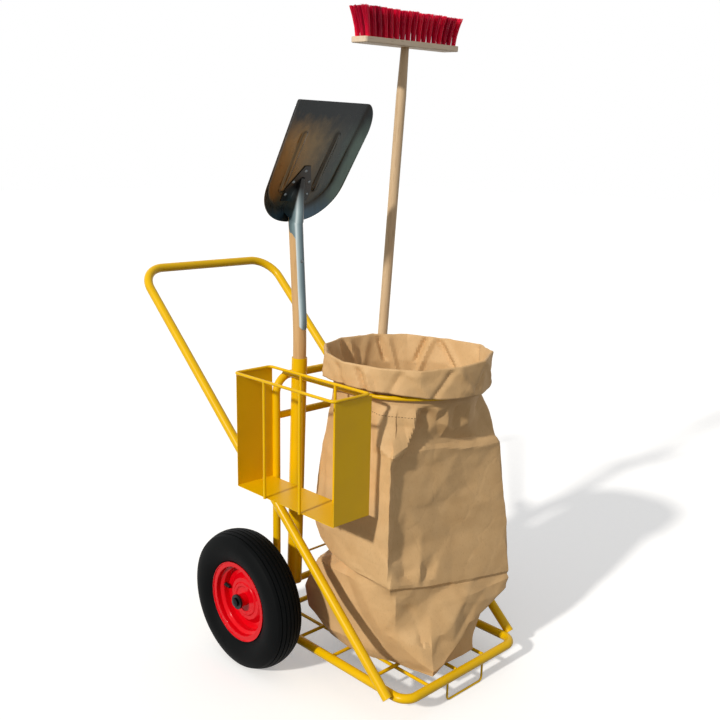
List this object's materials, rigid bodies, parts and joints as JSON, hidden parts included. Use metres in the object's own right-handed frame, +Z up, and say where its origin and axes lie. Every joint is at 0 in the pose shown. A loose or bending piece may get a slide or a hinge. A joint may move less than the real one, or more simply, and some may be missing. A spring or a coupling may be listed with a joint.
{
  "type": "cleaning cart",
  "caption": "Two-wheeled litter and street cleaning cart: bent yellow tube frame with push handle, paper sack in a hoop, side tool tray, and upright sockets holding a shovel and a broom.",
  "frame": {"origin": "on the floor under the middle of the axle, midway between the wheels", "axes": "+Z up, -Y towards the front of the cart, where the sack and the foot are, +X to the right along the axle when looking along +Y"},
  "size_m": [0.7895, 1.1819, 1.7943],
  "materials": {
    "yellow_paint": "gloss yellow powder coat on steel tube, rod and sheet",
    "zinc_steel": "bright zinc plate",
    "kraft_paper": "brown kraft paper, matt",
    "black_tyre": "black tyre rubber",
    "tube_rubber": "black rubber",
    "red_paint": "gloss red paint on pressed steel",
    "black_plastic": "black moulded plastic",
    "ash_wood": "pale ash, sanded",
    "beech_wood": "pale beech, sanded",
    "dark_steel": "dark tempered sheet steel, lacquered",
    "grey_steel": "grey forged steel",
    "red_bristle": "red plastic bristle"
  },
  "bodies": {
    "frame": {"push_handle": "yellow_paint", "strut_left": "yellow_paint", "strut_right": "yellow_paint", "handle_bolts": "zinc_steel", "handle_nuts": "zinc_steel", "tube_end_plugs": "yellow_paint", "base_frame": "yellow_paint", "base_rear_bar": "yellow_paint", "base_cross_bar_1": "yellow_paint", "base_cross_bar_2": "yellow_paint", "base_cross_bar_3": "yellow_paint", "base_long_bar_left": "yellow_paint", "base_long_bar_middle": "yellow_paint", "base_long_bar_right": "yellow_paint", "front_foot": "yellow_paint", "arch": "yellow_paint", "arch_post_left": "yellow_paint", "arch_post_right": "yellow_paint", "arch_crossbar": "yellow_paint", "shovel_socket": "yellow_paint", "broom_socket": "yellow_paint", "socket_tie_rod": "yellow_paint", "sack_hoop": "yellow_paint", "tray_sheet": "yellow_paint", "tray_rim": "yellow_paint", "tray_outer_bar_rear": "yellow_paint", "tray_outer_bar_front": "yellow_paint", "tray_inner_bar_rear": "yellow_paint", "tray_inner_bar_front": "yellow_paint", "axle": "yellow_paint", "axle_collars": "yellow_paint", "axle_caps": "zinc_steel", "paper_sack": "kraft_paper"},
    "left_wheel": {"left_tyre": "black_tyre", "left_inner_tube": "tube_rubber", "left_rim": "red_paint", "left_hub": "red_paint", "left_bushes": "black_plastic", "left_valve": "tube_rubber"},
    "right_wheel": {"right_tyre": "black_tyre", "right_inner_tube": "tube_rubber", "right_rim": "red_paint", "right_hub": "red_paint", "right_bushes": "black_plastic", "right_valve": "tube_rubber"},
    "shovel": {"shovel_handle": "ash_wood", "shovel_blade": "dark_steel", "shovel_strap": "grey_steel", "shovel_rivets": "grey_steel"},
    "broom": {"broom_stick": "beech_wood", "broom_block": "beech_wood", "broom_bristles": "red_bristle"}
  },
  "joints": [
    {"name": "left_wheel_spin", "type": "hinge", "parent": "frame", "child": "left_wheel", "pos_m": [-0.34, 0, 0.2], "axis": [1, 0, 0], "continuous": true},
    {"name": "right_wheel_spin", "type": "hinge", "parent": "frame", "child": "right_wheel", "pos_m": [0.34, 0, 0.2], "axis": [1, 0, 0], "continuous": true},
    {"name": "shovel_lift", "type": "slide", "parent": "frame", "child": "shovel", "axis": [0, -0.0309, 0.9995], "range_m": [0, 0.68]},
    {"name": "broom_lift", "type": "slide", "parent": "frame", "child": "broom", "axis": [0.0391, -0.0309, 0.9988], "range_m": [0, 0.68]}
  ]
}
